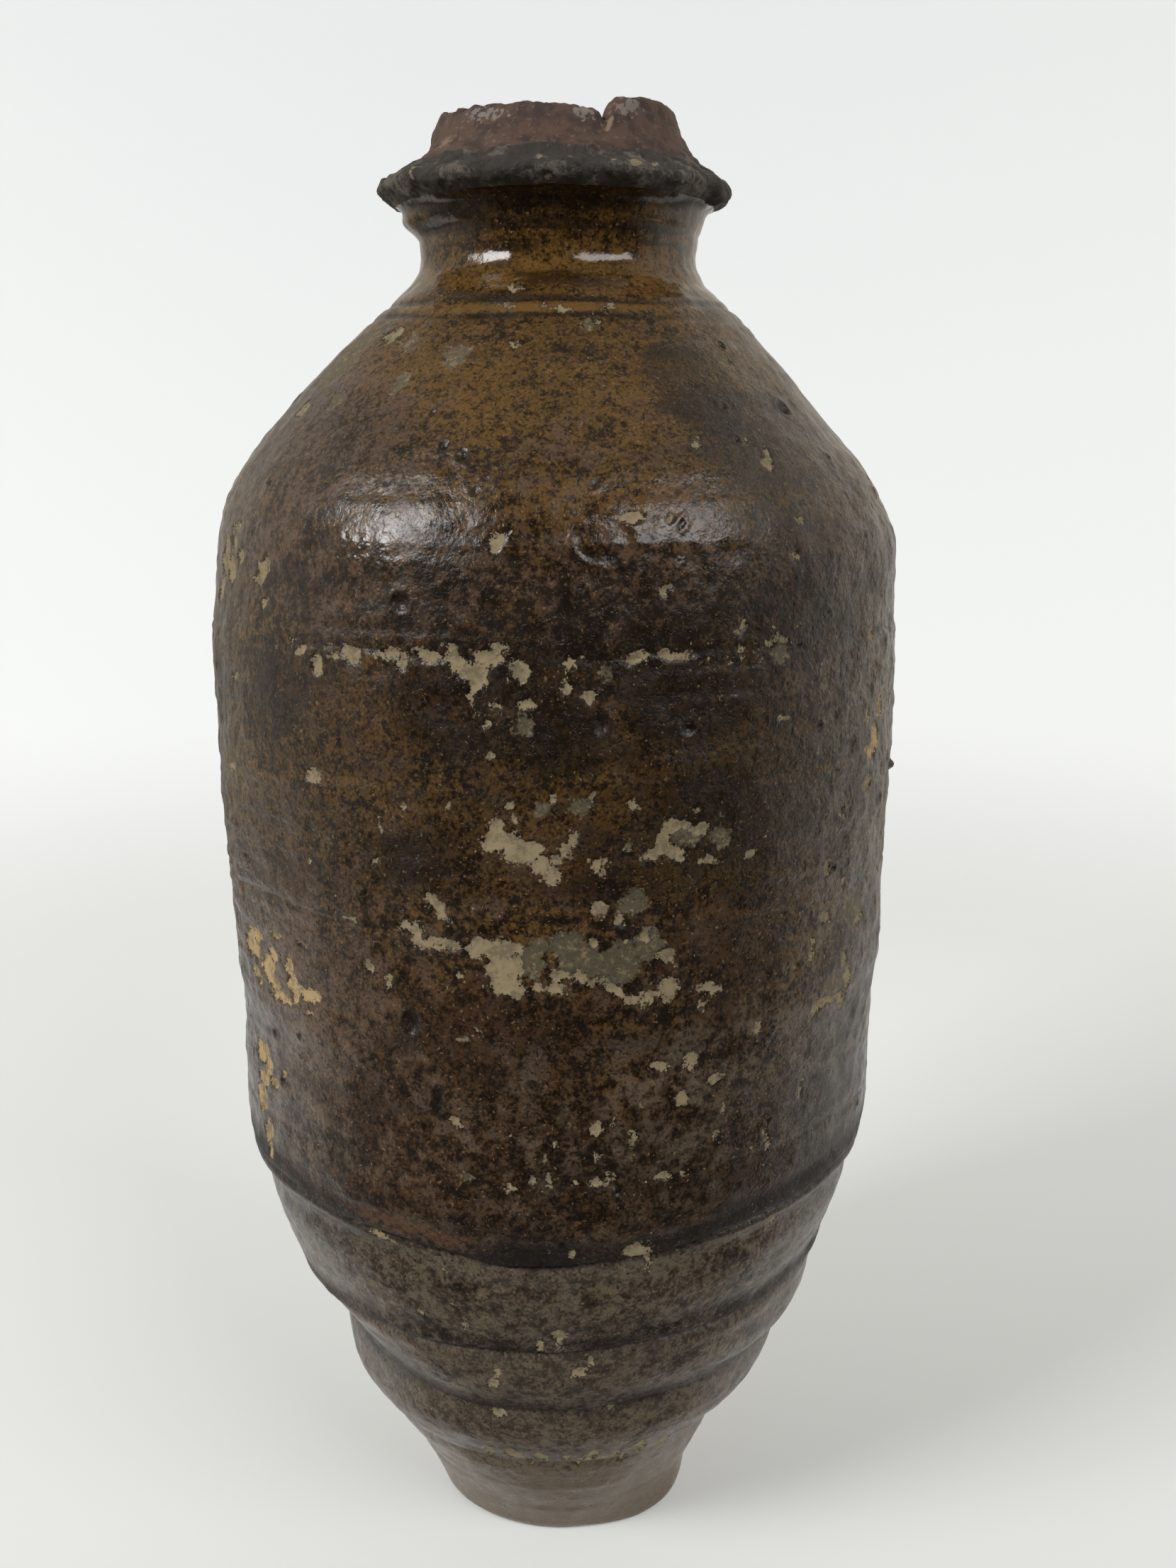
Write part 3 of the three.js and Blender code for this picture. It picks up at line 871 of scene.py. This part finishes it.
def mouth_clay():
    """The bare fired clay of the mouth, with grey deposits near the rim and a black foot."""
    s = Shader("bare_clay_look")
    small = s.centred(0.9, 4)
    colour = s.blend(s.step(s.noise(3.4, 4), 0.4, 0.66), CLAY, CLAY_DARK)
    colour = s.blend(s.times(s.step(small, 0.06, 0.22), 0.5), colour, CLAY_PALE)
    soot = s.total(s.field("soot"), (small, 1.6))
    colour = s.blend(s.step(soot, 0.4, 0.6), colour, FLANGE_BLACK)
    tan = s.total(s.field("tan"), (small, 1.2))
    colour = s.blend(s.step(tan, 0.3, 0.8), colour, CLAY_PALE)
    crust = s.total(s.field("crust"), (small, 2.6))
    colour = s.blend(s.times(s.step(crust, 0.55, 0.8), 0.75), colour, DEPOSIT)
    pores = s.step(s.noise(0.55, 2), 0.68, 0.74)
    colour = s.blend(s.times(pores, 0.7), colour, BLACK_BROWN)
    roughness = s.level(s.noise(1.4, 2), 0.55, 0.9)
    return s.finish(colour, roughness, s.times(s.noise(0.6, 4), 0.22))


# ---------------- Materials: the values stored on the mesh

# Every point's height, off by the wander of the glaze's edges.
WANDER = noise(11, 41)
HEIGHT = LEVEL + 2.5 * WANDER
# The lines along which light and shade are painted: shade on the lips' undersides and a sheen on the
# ledges below them, and shade along the lines round the neck.
LIP_SHADING_SHARES = ((LIP_LINE, 1.0), (BASE["lower_coil_3"], 1.0), (BASE["lower_coil_2"], 0.75))
NECK_SHADE_SHARES = ((243.9, 0.9), (246.6, 0.9), (256.8, 0.6), (259.4, 1.5))
# Crumbs of cream on the flange, as marks.
FLECKS = [
    (-3, 269.6, 1, 0.3), (6.5, 269.5, 0.5, 0.3), (20, 269.4, 0.5, 0.3), (27, 268.9, 1.4, 0.8),
    (35, 269.2, 0.6, 0.3), (-57, 266.5, 0.8, 0.5), (-1, 265.8, 0.6, 0.4), (150, 270, 1.2, 0.6),
    (-130, 269.5, 1, 0.5), (-47, 268, 0.3, 1.4),
]
# What each value is on the faces that aren't part of the sheet, where it isn't 0.
HIDDEN = {
    "flake": FAR, "film": FAR, "fleck": FAR, "amber": 0.2, "plum": 0.3, "pale": 0.2, "dark": 0.3,
    "gloss": 0.2,
}


def spread(base, steps=(), bands=(), patches=()):
    """A value over the sheet: its base, and steps, bands and patches that end in their share.

    A step is its first and last height, a band its height and reach, and a patch as patch() takes it.
    """
    value = np.full(PLACES.shape[:2], float(base))
    for low, high, share in steps:
        value += share * ease(HEIGHT, low, high)
    for height, reach, share in bands:
        value += share * hump(HEIGHT, height, reach)
    for *place, share in patches:
        value += share * patch(*place)
    return value


def glaze_spreads():
    """Where the glaze is amber, plum and pale, and how dark, glossy and lightly mottled it is, with
    painted shade and sheen worked into these values.
    """
    amber = spread(
        0.36, [(202, 228, 0.85), (140, 90, -0.25)], [(165, 22, 0.25)], [(-58, 194, 16, 14, 0.5)],
    )
    plum = spread(
        0.25, [(222, 244, -0.55)], [(118, 24, 0.08), (202, 16, 0.4), (224, 14, 0.15)],
        [(-50, 228, 36, 30, 0.65), (-46, 128, 34, 50, 0.45)],
    )
    # In pale, the steps below 92 and below 28 make the lower coils and the foot greyer: partly the
    # glaze's own grey, partly a painted sheen.
    pale = spread(
        -0.1, [(92, 68, 0.9), (28, 8, 0.8)], [],
        [(-50, 120, 26, 36, 0.25), (62, 165, 38, 85, 0.75), (26, 116, 46, 36, 0.32)],
    )
    pale += 0.28 * ease(HEIGHT, 66, 92) * ease(HEIGHT, 140, 112)
    # In dark, the step from 261.5 to 264.5 and the band at 262 are painted shade under the overhanging
    # flange.
    dark = spread(
        0.05, [(261.5, 264.5, 1.1), (88, 60, -0.4), (26, 8, -0.1)],
        [(168, 30, 0.3), (85, 8, 0.2), (262, 6, 0.3), (248.6, 2, 0.35)],
        [
            (28, 160, 30, 40, 0.15), (12, 186, 56, 15, 0.2), (64, 52, 36, 36, 0.5),
            (-64, 46, 30, 30, 0.2), (36, 214, 24, 26, 0.35), (22, 181, 20, 8, 0.2),
            (-5, 245.2, 60, 1.3, -0.8),
        ],
    )
    dark += 0.25 * noise(14, 42, 3) + 0.42 * ease(STAIN, -2.5, 1.5) + ease(PIT, -0.6, 0.2)
    gloss = spread(0.42, [(243, 250, 0.6)], [(208, 12, 0.15)]) + 0.2 * noise(8, 44)
    # In lift, the step below 28 lightens the foot's mottling: partly the glaze's own tone, partly a
    # painted sheen.
    lift = spread(0, [(28, 10, 1.5)], [], [
        (5, 197, 62, 17, -0.7), (-50, 128, 26, 34, 0.3), (-16, 233, 66, 15, 0.5),
        (-5, 245.2, 60, 1.2, 1.6),
    ])
    lift += 0.6 * hump(LEVEL, 251, 6) + 0.3 * noise(16, 50)
    uneven = 0.85 + 0.5 * noise(3, 49, 3)
    # Painted shade on each lip's underside and in the crevice under it, and a painted sheen on the
    # ledge below the crevice.
    for line, share in LIP_SHADING_SHARES:
        above = LEVEL - line + 0.6 * WANDER
        dark += share * uneven * (0.8 * hump(above, 1.8, 5) + 0.6 * hump(above, 0.2, 1.2))
        pale += share * (0.6 * hump(above, -2.8, 3.4) - 0.3 * hump(above, 2.5, 4.5))
        gloss -= share * hump(above, 1.8, 5)
    # Painted shade along the grooves and lines round the neck.
    near_line = LEVEL + 0.6 * noise(14, 14)
    for line, share in NECK_SHADE_SHARES:
        dark += share * hump(near_line, line, 0.9) * (0.7 + 0.6 * noise(9, 15))
    return {"amber": amber, "plum": plum, "pale": pale, "dark": dark, "gloss": gloss, "lift": lift}


def surface_values():
    """The numbers that the materials read from the mesh, each with its value on hidden faces."""
    values = glaze_spreads()
    strip = hump(LEVEL - LIP_LINE, 3.2, 4) * hump(ANGLE_GRID, -26, 30)
    rust = np.clip(1.3 * strip * (0.95 + 0.4 * noise(4, 43)) - 0.15, 0, 1)
    values["dark"] -= 0.9 * rust
    crumbs = np.clip(spread(0, [], [(189, 6, 1), (145, 26, 1), (98, 14, 1)]), 0, 1)
    crumbs *= 0.6 + 0.4 * noise(12, 45)
    crumbs += 2.5 * hump(LEVEL, 25.6, 2.4) * (0.8 + 0.5 * noise(5, 51))
    crinkle = spread(0, patches=[(-29, 205, 14, 11, 1.2), (15, 206, 16, 10, 0.72)])
    bumpy = spread(0, patches=[(66, 175, 36, 70, 1), (-66, 150, 26, 80, 0.7)])
    values |= {
        "flake": FLAKE, "film": FILM, "ochre": ease(OCHRE, -2, 0), "rust": rust, "crumbs": crumbs,
        "dots": 0.6 + 0.6 * noise(9, 46), "crinkle": np.clip(crinkle, 0, 1),
        "bumpy": np.clip(bumpy, 0, 1), "fleck": marks(FLECKS, 0.5), "ash": hump(LEVEL, 268.4, 2),
        "under": ease(LEVEL, 267, 265.4), "bare": ease(LEVEL, 268.6, 270.8),
        "soot": ease(LEVEL, 272.2, 270.2),
        "tan": spread(-0.1, patches=[(23.5, 278.8, 6, 3, 1.3), (-50, 274.5, 14, 3.5, 0.8)]),
        "crust": spread(0, patches=[
            (-34, 280, 26, 4, 0.8), (13, 280.5, 9, 3.5, 1.1), (36, 280.5, 16, 3.5, 1),
            (150, 280, 60, 3, 0.7),
        ]),
    }
    return {name: (value, HIDDEN.get(name, 0)) for name, value in values.items()}


def dress(made):
    """Gives each piece its material."""
    looks = {"brown_glaze": glaze(), "dark_glaze": flange_glaze(), "bare_clay": mouth_clay()}
    for node, piece in made.items():
        piece.data.materials.append(looks[SLOTS.get(node, "brown_glaze")])


# ---------------- Stage and view

# The paper floor is flat out to its radius, and only its part behind PAPER_EDGE shows in the glaze.
FLOOR_RADIUS = 0.42
PAPER_EDGE = -0.03
# The paper dome bends up from the floor's edge to its wall, and closes over in two more steps.
WALL_RADIUS = 0.95
BEND_STEPS = 24
DOME_TOP = [(WALL_RADIUS, 0.9), (0.6, 1.35), (0.0001, 1.5)]
PAPER_SIDES = 96
PAPER = rgb(238, 240, 238)
PAPER_GLOW = (0.95, 0.975, 1, 1)
FRONT_GLOW, FLOOR_GLOW, WALL_GLOW = 0.025, 0.165, 0.36


def paper():
    """Paper that glows, more at the back and up the wall, and is clear when seen from below."""
    s = Shader("paper")
    s.fill(s.surface, {
        "Base Color": PAPER, "Roughness": 0.9, "Specular IOR Level": 0.1,
        "Emission Color": PAPER_GLOW,
    })
    _, back, height = s.node("ShaderNodeSeparateXYZ", {0: s.place}).outputs
    flat_glow = s.level(s.step(back, -120, 200), FRONT_GLOW, FLOOR_GLOW)
    glow = s.level(s.step(height, -25, 60), flat_glow, WALL_GLOW)
    s.fill(s.surface, {"Emission Strength": glow})
    facing = s.node("ShaderNodeNewGeometry", {}).outputs["Backfacing"]
    clear = s.node("ShaderNodeBsdfTransparent", {}).outputs[0]
    mixed = s.node("ShaderNodeMixShader", {0: facing, 1: s.surface.outputs[0], 2: clear})
    s.fill(s.tree.nodes["Material Output"], {"Surface": mixed.outputs[0]})
    return s.material


def paper_sheet(name, section):
    """A sheet turned about Z from rows of radius and height, facing up and inwards."""
    turns = np.arange(PAPER_SIDES) * 2 * math.pi / PAPER_SIDES
    reach, height = np.array(section).T[:, :, None]
    places = np.stack([reach * np.cos(turns), reach * np.sin(turns), height + 0 * turns], axis=-1)
    numbers = np.arange(reach.size * PAPER_SIDES).reshape(-1, PAPER_SIDES)
    faces = np.vstack([quads(high, low) for low, high in zip(numbers, numbers[1:])])
    faces = np.roll(faces, 1, axis=-1)
    sheet = mesh_object(name, places.reshape(-1, 3).tolist(), faces.tolist())
    sheet.data.polygons.foreach_set("use_smooth", [True] * len(faces))
    return sheet


def keep_side(sheet, side):
    """Cuts a sheet along PAPER_EDGE, and keeps its part behind that where side is 1."""
    mesh = bmesh.new()
    mesh.from_mesh(sheet.data)
    bmesh.ops.bisect_plane(
        mesh, geom=[*mesh.verts, *mesh.edges, *mesh.faces], plane_co=(0, PAPER_EDGE, 0),
        plane_no=(0, -side, 0), clear_outer=True,
    )
    mesh.to_mesh(sheet.data)
    mesh.free()


def make_stage():
    """A paper floor and a paper dome that curves up out of it.

    Only the floor's back part shows in the glaze, so the room in front of the bottle stays dark in
    it. The floor's front part still throws soft light up at the bottle.
    """
    flat = [(0.0001, 0), (0.03, 0), (0.1, 0), (FLOOR_RADIUS, 0)]
    floor = paper_sheet("paper_floor", flat)
    bend = WALL_RADIUS - FLOOR_RADIUS
    angles = [math.pi / 2 * step / BEND_STEPS for step in range(BEND_STEPS + 1)]
    rise = [(FLOOR_RADIUS + bend * math.sin(a), bend * (1 - math.cos(a))) for a in angles]
    wall = paper_sheet("paper_wall", rise + DOME_TOP)
    front = paper_sheet("paper_front", flat)
    keep_side(floor, 1)
    keep_side(front, -1)
    look = paper()
    for sheet in (floor, wall, front):
        sheet.data.materials.append(look)
    wall.visible_diffuse = False
    for sheet in (wall, front):
        sheet.visible_glossy = False
        sheet.visible_shadow = False


# The place that the windows face, and each window's azimuth, elevation, distance, width, height and
# radiance.
AIM = Vector((0, 0, 0.22))
WINDOWS = {
    "left_window": (-54, 31, 1.3, 0.5, 0.46, 15.2),
    "right_window": (44, 33, 2.6, 1.8, 0.84, 5.9),
}


def window(name, azimuth, elevation, distance, width, height, radiance):
    """A soft rectangular light seen from AIM in a direction, and facing it."""
    turn, lift = math.radians(azimuth), math.radians(elevation)
    flat = math.cos(lift)
    direction = Vector((flat * math.sin(turn), -flat * math.cos(turn), math.sin(lift)))
    lamp = bpy.data.lights.new(name, "AREA")
    lamp.shape = "RECTANGLE"
    lamp.size, lamp.size_y = width, height
    lamp.energy = radiance * math.pi * width * height
    light = bpy.data.objects.new(name, lamp)
    light.location = AIM + distance * direction
    light.rotation_euler = (-direction).to_track_quat("-Z", "Y").to_euler()
    light.visible_camera = False
    bpy.context.scene.collection.objects.link(light)


ROOM_COLOUR = (1, 0.95, 0.85, 1)
ROOM_STRENGTH = 0.64
# The turn that puts the middle of the room's dark side 9 degrees to the right of the front.
ROOM_TURN = -9
# How the room's light changes by direction: the axis, the span along it, and the share at its ends.
# It is brighter on the right, dark in front, and dimmer overhead and underfoot.
ROOM = [
    (0, -0.9, 0.9, 0.8, 1.16), (1, -0.66, -0.05, 0.04, 1.0), (2, 0.45, 0.9, 1.0, 0.4),
    (2, -0.55, -0.1, 0.3, 1.0),
]


def make_lights():
    """Two windows in front, left and right, and a room that is bright beside and behind."""
    for name, settings in WINDOWS.items():
        window(name, *settings)
    world = bpy.data.worlds.new("room")
    bpy.context.scene.world = world
    s = Nodes(world)
    direction = s.node("ShaderNodeTexCoord", {}).outputs["Generated"]
    turn = {"Vector": direction, "Angle": math.radians(ROOM_TURN)}
    turned_direction = s.node("ShaderNodeVectorRotate", turn, rotation_type="Z_AXIS").outputs[0]
    along = s.node("ShaderNodeSeparateXYZ", {0: turned_direction}).outputs
    strength = ROOM_STRENGTH
    for axis, *span in ROOM:
        strength = s.times(strength, s.step(along[axis], *span))
    s.fill(s.tree.nodes["Background"], {"Strength": strength, "Color": ROOM_COLOUR})


# The camera's lens and sensor in millimetres, its place, how far it looks down and its roll.
LENS, SENSOR = 35.76, 36
CAMERA_PLACE = (0.00636, -0.31, 0.2244)
LOOK_DOWN = 12.77
ROLL = -0.13


def make_camera():
    """The camera: a phone held a little above the shoulder, close in front, looking down."""
    data = bpy.data.cameras.new("camera")
    data.sensor_width = SENSOR
    data.lens = LENS
    data.clip_start = 0.01
    camera = bpy.data.objects.new("camera", data)
    tilt = Matrix.Rotation(math.radians(90 - LOOK_DOWN), 4, "X")
    roll = Matrix.Rotation(math.radians(ROLL), 4, "Z")
    camera.matrix_world = Matrix.Translation(CAMERA_PLACE) @ tilt @ roll
    bpy.context.scene.collection.objects.link(camera)
    bpy.context.scene.camera = camera


make_camera()
bottle = make_pieces(surface_values())
dress(bottle)
make_stage()
make_lights()
bpy.context.scene.view_settings.view_transform = "Standard"
